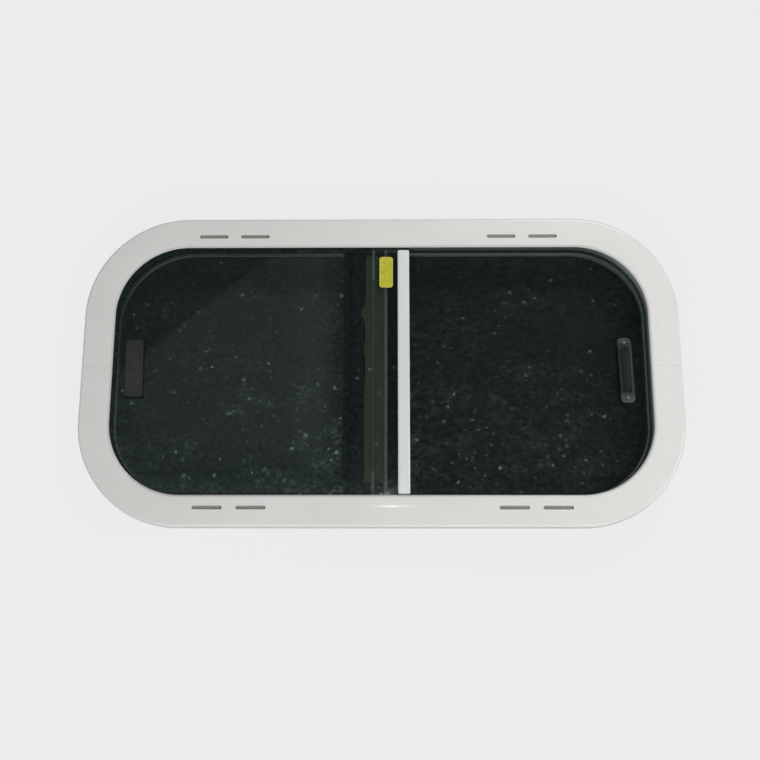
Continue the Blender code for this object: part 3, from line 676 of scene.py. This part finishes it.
NOSE, EDGE = 3.6, 28.4
frame_profile = (
    [(0.55, 41.5), (0.22, 41.58), (0.04, 41.78), (0.0, 42.05)]
    + bezier((0.0, 42.05), (0.0, 43.0), (1.5, crown(NOSE) - 0.05), (NOSE, crown(NOSE)), 10)
    + [(u, crown(u)) for u in (5.0, 6.5, 8.0, 9.0, 9.7, 10.3, 10.8, 11.2, 11.6, 12.0, 12.5, 13.1, 13.9, 14.9, 16.2, 18.0, 21.0, 24.0, 26.5, EDGE)]
    + bezier((EDGE, crown(EDGE)), (30.3, crown(EDGE) - 0.06), (31.4, 42.6), (31.5, 41.0), 12)
    + fillet([(31.5, 41.0), (FLANGE, 35.5, 0.35), (30.5, 35.5, 0.4), (29.5, 41.15, 1.0), (23.0, crown(23.0) - 2.1),
              (15.0, crown(15.0) - 2.1, 0.8),
              (15.0, 13.0, 0.6), (6.5, 13.0, 0.6), (6.5, 20.5, 0.8), (-1.2, 20.5, 0.6), (-1.2, 23.0, 0.7),
              (12.5, 23.0, 0.5), (12.5, 41.5, 0.6), (0.55, 41.5)], 4)[1:-1]
)

SLOT_L, SLOT_W, SLOT_FLOOR = 29.0, 3.0, 42.3


def slot_tool(x, y):
    """A round-ended slot with a rounded floor and a softened rim, where paint has pulled back from the edge."""
    x0, x1, y0, y1 = x - SLOT_L / 2, x + SLOT_L / 2, y - SLOT_W / 2, y + SLOT_W / 2
    layers = [(0.5, SLOT_FLOOR), (0.18, SLOT_FLOOR + 0.1), (0.0, SLOT_FLOOR + 0.45), (0.0, DEPTH - 0.55), (-0.07, DEPTH - 0.3),
              (-0.24, DEPTH - 0.1), (-0.55, DEPTH + 0.05), (-0.8, DEPTH + 1.0)]
    return block(x0, x1, y0, y1, SLOT_W / 2 - 0.05, layers, 10)


def screw_spots():
    d = R + 10.75
    spots = []
    for sy in (1, -1):
        spots += [(x, sy * (CY + d)) for x in (-180.0, -60.0, 60.0, 180.0)]
    for sx in (1, -1):
        spots += [(sx * (CX + d), y) for y in (-38.0, 41.0)]
    c = d * math.sqrt(0.5)
    spots += [(sx * (CX + c), sy * (CY + c)) for sx in (1, -1) for sy in (1, -1)]
    return spots


for half, sign, up, pair, shift in (("upper", 1, 11.6, 149.4, -3.1), ("lower", -1, 12.7, 151.0, 1.7)):
    slots = together([slot_tool(sx * pair + sp * 43.0 + shift, sign * (B + up)) for sx in (-1, 1) for sp in (-0.5, 0.5)])
    bores = together([turned([(2.4, 12.0), (2.4, 20.6)], Matrix.Translation((x, y, 0)), 20)
                      for x, y in screw_spots() if (y - SEAM_Y) * sign > 0])
    holes = []
    for side in (1, -1):
        y = SEAM_Y + sign * 18.0
        place = Matrix.Translation((side * A, y, 27.0)) @ Matrix.Rotation(side * math.pi / 2, 4, "Y")
        holes.append(turned([(1.9, 12.0), (1.9, 15.2)], place, 20))
    # the drain slots are lined with painted shade
    piece("frame_" + half, sweep(frame_profile, half, 0.1), M["frame"], "frame", half + "_frame", 32,
          [(slots, "DIFFERENCE", M["slot_shade"]), (bores,), (together(holes),)])

# ================================================================ seals and rings
channel_profile = fillet([(12.1, 23.4, 0.3), (12.1, 41.1, 0.3), (0.8, 41.1, 0.35), (0.8, 40.3, 0.35), (10.4, 40.3, 0.5),
                          (10.4, 35.6, 0.5), (1.2, 35.6, 0.9), (1.2, 28.9, 0.9), (10.4, 28.9, 0.5), (10.4, 24.2, 0.5),
                          (0.4, 24.2, 0.35), (0.4, 23.4, 0.35)], 3)
for half in ("upper", "lower"):
    piece("channel_" + half, sweep(channel_profile, half, 0.15), M["flock"], "frame", half + "_run_channel", 45)

gasket_profile = fillet([(17.0, 34.2, 0.5), (29.3, 34.2, 0.7), (29.1, 40.5, 1.1), (17.0, 41.2, 0.6)], 5)
piece("gasket", sweep(gasket_profile, "ring"), M["foam"], "frame", "flange_gasket", 45)

ring_profile = fillet([(5.0, 0.0, 0.6), (29.0, 0.0, 1.1), (29.0, 3.0, 0.8), (6.2, 3.0, 0.6), (6.2, 18.0, 0.5), (5.0, 18.0, 0.5)], 5)
sinks = together([turned([(5.3, -0.4), (4.72, 0.03), (4.55, 0.2), (2.55, 2.25), (2.4, 2.5), (2.4, 3.6)],
                         Matrix.Translation((x, y, 0)), 40) for x, y in screw_spots()])
piece("trim_ring", sweep(ring_profile, "ring"), M["ring"], "frame", "clamp_ring", 38, [(sinks,)])


# ================================================================ screws
def cross_tool(size, z0, z1, place=Matrix.Identity(4)):
    """A tapered cross recess: two wings that narrow towards the bottom."""
    wings = []
    for turn in (0.0, 90.0):
        rings = []
        for long, wide, z in ((size * 1.08, size * 0.34, z0), (size, size * 0.3, z0 + (z1 - z0) * 0.2), (size * 0.42, size * 0.2, z1)):
            rings.append([place @ Matrix.Rotation(math.radians(turn), 4, "Z") @ Vector((sx * long / 2, sy * wide / 2, z))
                          for sx, sy in ((1, 1), (-1, 1), (-1, -1), (1, -1))])
        wings.append(loft(rings))
    return wings


clamp = bare("clamp_screw_shape", turned(
    [(3.55, 0.36), (3.85, 0.42), (4.0, 0.52), (3.98, 0.62), (2.1, 2.5), (1.95, 2.75)]
    + [q for k in range(12) for q in ((1.95, 3.6 + 1.2 * k), (1.95, 4.05 + 1.2 * k), (1.5, 4.35 + 1.2 * k), (1.5, 4.5 + 1.2 * k))]
    + [(1.9, 18.2), (0.7, 19.8)], sides=36))
clamp.data.materials.append(M["steel"])
for wing in cross_tool(4.6, 0.2, 2.0):
    carve(clamp, wing)
finish_mesh(clamp, 35)
rng = random.Random(11)
for n, (x, y) in enumerate(screw_spots()):
    obj = clamp if n == 0 else bpy.data.objects.new("clamp", clamp.data)
    if n:
        bpy.context.scene.collection.objects.link(obj)
    obj.name = "ring_screw_%02d" % (n + 1)
    obj.location = (x * MM, y * MM, 0.0)
    obj.rotation_euler = (0, 0, rng.uniform(0, math.pi))
    settle(obj, "frame", "clamp_screw_%02d" % (n + 1))

# ================================================================ joiner plates behind the jamb seams
for side, word in ((-1, "left"), (1, "right")):
    flat = block(SEAM_Y - 30, SEAM_Y + 30, 21.0, 33.0, 2.4, round_edge(15.3, 17.3, 0.2, 0.45, 3), 6)
    # (y, z, out) to (x, y, z)
    for v in flat.verts:
        v.co = Vector((side * (A + v.co.z), v.co.x, v.co.y))
    tools = []
    for s in (1, -1):
        place = Matrix.Translation((side * A, SEAM_Y + s * 18.0, 27.0)) @ Matrix.Rotation(side * math.pi / 2, 4, "Y")
        tools.append(turned([(1.9, 14.8), (1.9, 15.75), (3.55, 17.32), (3.7, 17.9)], place, 36))
    piece("joiner_plate_" + word, flat, M["alu"], "frame", word + "_joiner_plate", 35, [(together(tools),)])
    for k, s in ((1, 1), (2, -1)):
        place = Matrix.Translation((side * A, SEAM_Y + s * 18.0, 27.0)) @ Matrix.Rotation(side * math.pi / 2, 4, "Y")
        body = turned([(1.1, 12.9), (1.5, 13.3), (1.5, 13.7), (1.3, 13.85), (1.5, 14.0), (1.5, 14.4), (1.3, 14.55), (1.5, 14.7),
                       (1.5, 15.65), (2.95, 17.1), (3.05, 17.2), (2.7, 17.25)], place, 32)
        turn = place @ Matrix.Translation((0, 0, 34.2)) @ Matrix.Rotation(math.pi, 4, "X")
        piece("joiner_screw_%s_%d" % (word, k), body, M["steel"], "frame", "%s_joiner_screw_%d" % (word, k), 35,
              [(w,) for w in cross_tool(3.5, 16.8, 18.1, turn)])

# ================================================================ outer sash
OG0, OG1, IG0, IG1 = 36.0, 40.0, 24.6, 28.6
PY, PR = B + 9.7, R + 9.7
OUTER_RIGHT, INNER_LEFT = 27.4, -36.4
piece("pane_outer", block(-(A + 9.7), OUTER_RIGHT, -PY, PY, (3.0, PR, PR, 3.0), round_edge(OG0, OG1, 0.5, 0.5, 3), 8),
      M["outer_glass"], "outer_sash", "outer_pane", 40)

X0, X1 = 17.2, 29.2
BAR_LOW, BAR_HIGH = -(B - 1.1), B - 2.4
bar_profile = fillet([(X0, 40.3, 0.25), (X0, 41.35, 0.7), (X0 + 1.9, 41.9, 2.4), (X1 - 1.6, 41.9, 1.6), (X1, 41.4, 0.8), (X1, 34.1, 0.7),
                      (X0, 34.1, 0.6), (X0, 35.7, 0.25), (OUTER_RIGHT + 0.3, 35.7, 0.3), (OUTER_RIGHT + 0.3, 40.3, 0.3)], 5)
trim = block(X0 - 0.01, X1 + 0.01, BAR_LOW, BAR_HIGH, (2.0, 2.0, 1.4, 1.4), [(0.0, 30.0), (0.0, 41.2), (0.12, 41.62), (0.4, 41.95), (0.6, 43.0)], 8)
piece("sash_bar", upright(bar_profile, BAR_LOW - 1.0, BAR_HIGH + 1.0), M["bar"], "outer_sash", "edge_channel", 38,
      [(trim, "INTERSECT")])

IX0, IX1, RIB, HOOK = -15.4, 6.6, -8.0, -25.2
strip_profile = fillet([(HOOK, 31.2, 0.4), (IX0 + 1.6, 31.2, 0.4), (IX0 + 1.6, 33.2, 0.4), (IX1, 33.2, 0.5), (IX1, 35.7, 0.3), (IX1 - 3.2, 35.7, 0.3),
                        (IX1 - 3.2, 34.8, 0.3), (RIB + 1.5, 34.8, 0.25), (RIB + 1.5, 35.7, 0.25), (RIB - 1.5, 35.7, 0.25), (RIB - 1.5, 34.8, 0.25),
                        (IX0, 34.8, 0.4), (IX0, 32.3, 0.3), (HOOK, 32.3, 0.4)], 3)
piece("interlock_strip", upright(strip_profile, -(B - 0.5), B - 0.5), M["strip"], "outer_sash", "outer_interlock", 35)

TAPE_LOW, TAPE_HIGH = -115.6, 120.9


def squeeze(y):
    bulge = 4.5 * math.exp(-((y - 59.0) / 7.5) ** 2) + 1.7 * math.exp(-((y - 20.5) / 8.0) ** 2)
    lower = min(1.0, max(0.0, (2.0 - y) / 36.0))
    return bulge + 1.1 * lower * lower * (3 - 2 * lower) + 0.12 * math.sin(y / 5.0) + 0.1 * math.sin(y / 2.3 + 1.0)


def tape_run(left, right, rows=300):
    """A thin run of tape with rounded, slightly wavy edges; left and right give its edges at height y."""
    rings = []
    for i in range(rows + 1):
        y = TAPE_LOW + (TAPE_HIGH - TAPE_LOW) * i / rows
        end = min(i, rows - i)
        pinch = (0.5, 0.2, 0.05)[end] if end < 3 else 0.0
        l, r = left(y) + pinch, right(y) - pinch
        rings.append([(l + 0.12, y, 35.1), (r - 0.12, y, 35.1), (r, y, 35.25), (r, y, 35.58), (r - 0.12, y, 35.7), (l + 0.12, y, 35.7),
                      (l, y, 35.58), (l, y, 35.25)])
    return loft(rings)


piece("tape_left", tape_run(lambda y: IX0 - 0.5 - squeeze(y), lambda y: RIB - 1.7 + 0.05 * math.sin(y / 3.1)), M["tape"], "outer_sash",
      "interlock_tape_left", 40)
piece("tape_right", tape_run(lambda y: RIB + 1.7 + 0.06 * math.sin(y / 2.7), lambda y: IX1 - 3.6 + 0.08 * math.sin(y / 4.3 + 2.0)), M["tape"],
      "outer_sash", "interlock_tape_right", 40)


def leaned(bm, x, y, degrees):
    bm.transform(Matrix.Translation((x, y, 0)) @ Matrix.Rotation(math.radians(degrees), 4, "Z") @ Matrix.Translation((-x, -y, 0)))
    return bm


LX0, LX1, LY0, LY1, LEFT_LEAN = -260.95, -241.35, -30.7, 31.2, 1.7
LC = ((LX0 + LX1) / 2, (LY0 + LY1) / 2)
piece("pull_pad_left", leaned(block(LX0, LX1 - 1.7, LY0 + 2.6, LY1, 3.0, round_edge(35.2, 35.7, 0.08, 0.15, 3), 6), *LC, LEFT_LEAN), M["pad"], "outer_sash",
      "left_pull_pad", 40)


grip = leaned(block(LX0 + 0.3, LX1 - 0.3, LY0 + 0.3, LY1 - 0.3, 2.4, round_edge(33.0, 34.9, 0.9, 0.2, 5), 6), *LC, LEFT_LEAN)
ledge = leaned(block(LX1 - 5.6, LX1 - 1.4, LY0 + 3.0, LY1 - 3.0, 2.0, round_edge(29.4, 33.8, 1.3, 0.1, 6), 6), *LC, LEFT_LEAN)
ribs = together([leaned(block(LX1 - 11.4 - 2.0 * k, LX1 - 10.6 - 2.0 * k, LY0 + 6.0, LY1 - 6.0, 0.38, round_edge(32.6, 33.6, 0.3, 0.02, 3), 4),
                        *LC, LEFT_LEAN) for k in range(3)])
piece("pull_left", grip, M["black"], "outer_sash", "left_pull", 38, [(ledge, "UNION"), (ribs, "UNION")])

piece("tag", block(-1.6, 12.3, 85.6, 118.8, 3.0, [(0.03, 40.3), (0.0, 40.33), (0.0, 40.44), (0.06, 40.5)], 10), M["tag"], "outer_sash", "blank_tag",
      40)

# ================================================================ inner sash
piece("pane_inner", block(INNER_LEFT, A + 9.7, -PY, PY, (PR, 3.0, 3.0, PR), round_edge(IG0, IG1, 0.5, 0.5, 3), 8),
      M["inner_glass"], "inner_sash", "inner_pane", 40)

J = INNER_LEFT - 1.8
cap_profile = fillet([(J, 23.1, 0.5), (J + 15.0, 23.1, 0.4), (J + 15.0, 24.3, 0.3), (INNER_LEFT - 0.3, 24.3, 0.2), (INNER_LEFT - 0.3, 28.9, 0.2),
                      (J + 18.2, 28.9, 0.3), (J + 18.2, 30.1, 0.3), (J + 9.6, 30.1, 0.3), (J + 9.6, 33.3, 0.3), (J + 21.2, 33.3, 0.3), (J + 21.2, 34.5, 0.5),
                      (J + 8.0, 34.5, 0.7), (J + 8.0, 30.1, 0.4), (J, 30.1, 0.5)], 3)
piece("interlock_cap", upright(cap_profile, -(B - 1.7), B - 1.7), M["black"], "inner_sash", "inner_interlock", 38)


def brush(x0, x1, y0, y1, z0, z1):
    """A woven backing with rows of pile tufts, each a tapered tuft that leans a little."""
    parts = [block(x0, x1, y0, y1, 0.3, round_edge(z0, z0 + 0.5, 0.1, 0.1, 2), 3)]
    rnd = random.Random(5)
    bm = parts[0]
    step = 0.95
    rows = 3
    for k in range(int((y1 - y0 - 1.2) / step)):
        for j in range(rows):
            cx = x0 + (x1 - x0) * (j + 0.5) / rows + rnd.uniform(-0.08, 0.08)
            cy = y0 + 0.6 + step * (k + 0.5 * (j % 2)) + rnd.uniform(-0.1, 0.1)
            tip = z1 - rnd.uniform(0.0, 0.3)
            lx, ly = rnd.uniform(-0.12, 0.12), rnd.uniform(-0.25, 0.25)
            lo = [bm.verts.new((cx + 0.4 * math.cos(a), cy + 0.4 * math.sin(a), z0 + 0.3)) for a in (0.3, 1.87, 3.44, 5.01)]
            hi = [bm.verts.new((cx + lx + 0.16 * math.cos(a), cy + ly + 0.16 * math.sin(a), tip)) for a in (0.3, 1.87, 3.44, 5.01)]
            bm.faces.new(list(reversed(lo)))
            bm.faces.new(hi)
            for q in range(4):
                bm.faces.new((lo[q], lo[(q + 1) % 4], hi[(q + 1) % 4], hi[q]))
    return bm


piece("pile", brush(J + 9.9, HOOK - 0.3, -(B - 3.0), B - 3.0, 30.4, 33.0), M["pile"], "inner_sash", "pile_strip", 40)

QX0, QX1, QY0, QY1, RIGHT_LEAN = 241.5, 256.7, -35.0, 33.2, 1.3
RC = ((QX0 + QX1) / 2, (QY0 + QY1) / 2)
piece("pull_pad_right", block(QX0 + 0.8, QX1 - 0.8, QY0 + 0.8, QY1 - 0.8, 4.4, round_edge(28.9, 29.4, 0.08, 0.15, 3), 6, RIGHT_LEAN), M["pad"],
      "inner_sash", "right_pull_pad", 40)
recess = leaned(block(QX0 + 3.6, QX1 - 3.6, QY0 + 10.5, QY1 - 10.5, 3.4,
                      [(1.3, 31.6), (0.6, 31.75), (0.15, 32.2), (0.0, 32.9), (0.0, 34.2), (-0.2, 34.7), (-0.6, 35.1), (-1.1, 35.3), (-1.2, 37.0)], 8),
                *RC, RIGHT_LEAN)
plugs = together([leaned(turned([(1.9, 34.6), (1.9, 35.22), (1.78, 35.42), (1.5, 35.6), (1.1, 35.74), (0.6, 35.83), (0.2, 35.86)],
                                Matrix.Translation((RC[0], y, 0)), 32), *RC, RIGHT_LEAN) for y in (QY1 - 5.2, QY0 + 5.6)])
piece("pull_right", leaned(block(QX0, QX1, QY0, QY1, 5.2, round_edge(29.7, 35.2, 0.4, 1.7, 7), 10), *RC, RIGHT_LEAN), M["grey"], "inner_sash",
      "right_pull", 38, [(recess,), (plugs, "UNION")])

# ================================================================ floor, light and camera
floor_mat, nt, bsdf = new_material("floor_paper", Roughness=0.9)
vec = coords(nt)
fx, fy, fz = parts_of(nt, vec)
away = span(nt, from_edge(nt, vec), 5.5, 11.0)
fibre = noise(nt, vec, 0.35, 3.0)
pale = blend(nt, span(nt, fibre, 0.3, 0.7), (0.057, 0.057, 0.057), (0.063, 0.063, 0.063))
# inside the window's outline the floor is painted shade seen through the glass: dark under the right pane, lighter
# under the left pane and lighter still towards the middle, with a darker painted shadow across its upper left
slope = calc(nt, "SUBTRACT", calc(nt, "MULTIPLY", fy, 0.778), calc(nt, "MULTIPLY", fx, 0.628))
left = blend(nt, span(nt, fx, -110.0, -50.0), (0.136, 0.164, 0.166), (0.195, 0.235, 0.235))
left = blend(nt, span(nt, slope, 176.0, 183.0), left, (0.066, 0.080, 0.082))
shade = blend(nt, span(nt, fx, -30.0, 10.0), left, (0.044, 0.053, 0.047))
nt.links.new(blend(nt, away, shade, pale), bsdf.inputs["Base Color"])
bsdf.inputs["Emission Color"].default_value = (1, 1, 1, 1)
nt.links.new(calc(nt, "MULTIPLY", away, span(nt, fx, -380.0, 380.0, 0.789, 0.762, False)), bsdf.inputs["Emission Strength"])
# seen from below, the floor is left out, so the interior face can be looked at
side = nt.nodes.new("ShaderNodeNewGeometry")
nt.links.new(calc(nt, "SUBTRACT", 1.0, side.outputs["Backfacing"]), bsdf.inputs["Alpha"])
bm = bmesh.new()
bmesh.ops.create_grid(bm, x_segments=1, y_segments=1, size=6000.0)
floor = bare("floor", bm)
floor.location = (0, 0, -0.0004)
floor.data.materials.append(floor_mat)


def lamp(name, at, to, size, power, color=(1, 1, 1)):
    data = bpy.data.lights.new(name, "AREA")
    data.shape = "RECTANGLE"
    data.size, data.size_y = size
    data.energy = power
    data.color = color
    obj = bpy.data.objects.new(name, data)
    obj.location = at
    obj.rotation_euler = (Vector(to) - Vector(at)).to_track_quat("-Z", "Y").to_euler()
    bpy.context.scene.collection.objects.link(obj)
    return obj


lamp("key_right", (0.95, -0.12, 1.0), (0, 0, 0), (0.5, 0.5), 4.9)
lamp("key_high", (0.45, 0.9, 1.0), (0, 0, 0), (0.5, 0.3), 7.1)
lamp("fill_front", (0.0, -1.35, 1.15), (0, 0, 0), (1.9, 0.7), 20.4)
lamp("fill_left", (-1.45, 0.0, 1.15), (0, 0, 0), (1.4, 0.7), 2.1)
lamp("spark_sill", (0.011, -0.042, 1.10), (0.011, -0.14, 0.044), (0.045, 0.045), 0.25)
lamp("spark_head", (-0.002, 0.548, 1.10), (0.005, 0.139, 0.044), (0.05, 0.03), 0.04)

world = bpy.data.worlds.new("studio")
world.use_nodes = True
world.node_tree.nodes["Background"].inputs["Color"].default_value = (0.96, 1.0, 0.99, 1.0)
wt = world.node_tree
wtc = wt.nodes.new("ShaderNodeTexCoord")
up = parts_of(wt, wtc.outputs["Generated"])[2]
wt.links.new(span(wt, up, 0.45, 0.9, 0.14, 0.035), wt.nodes["Background"].inputs["Strength"])
bpy.context.scene.world = world
bpy.context.scene.view_settings.view_transform = "Standard"

# camera fitted to the frame's outlines: 1000 px focal length in a 760 px picture
TILT, YAW, ROLL = (math.radians(d) for d in (12.733, 0.6651, -0.0582))
TARGET, SHIFT = Vector((0, 0, 0.041)), Vector((0.000870, -0.0121545, 1.0131188))
axes = Matrix(((1, 0, 0), (0, -math.cos(TILT), -math.sin(TILT)), (0, math.sin(TILT), -math.cos(TILT))))
look = Matrix.Rotation(ROLL, 3, "Z") @ Matrix.Rotation(YAW, 3, "Y") @ axes
cam = bpy.data.objects.new("camera", bpy.data.cameras.new("camera"))
bpy.context.scene.collection.objects.link(cam)
cam.data.sensor_width = 36.0
cam.data.lens = 1000.0 / 760.0 * 36.0
eye = TARGET - look.transposed() @ SHIFT
turn = Matrix((look[0], -look[1], -look[2])).transposed()
cam.matrix_world = Matrix.Translation(eye) @ turn.to_4x4()
bpy.context.scene.camera = cam
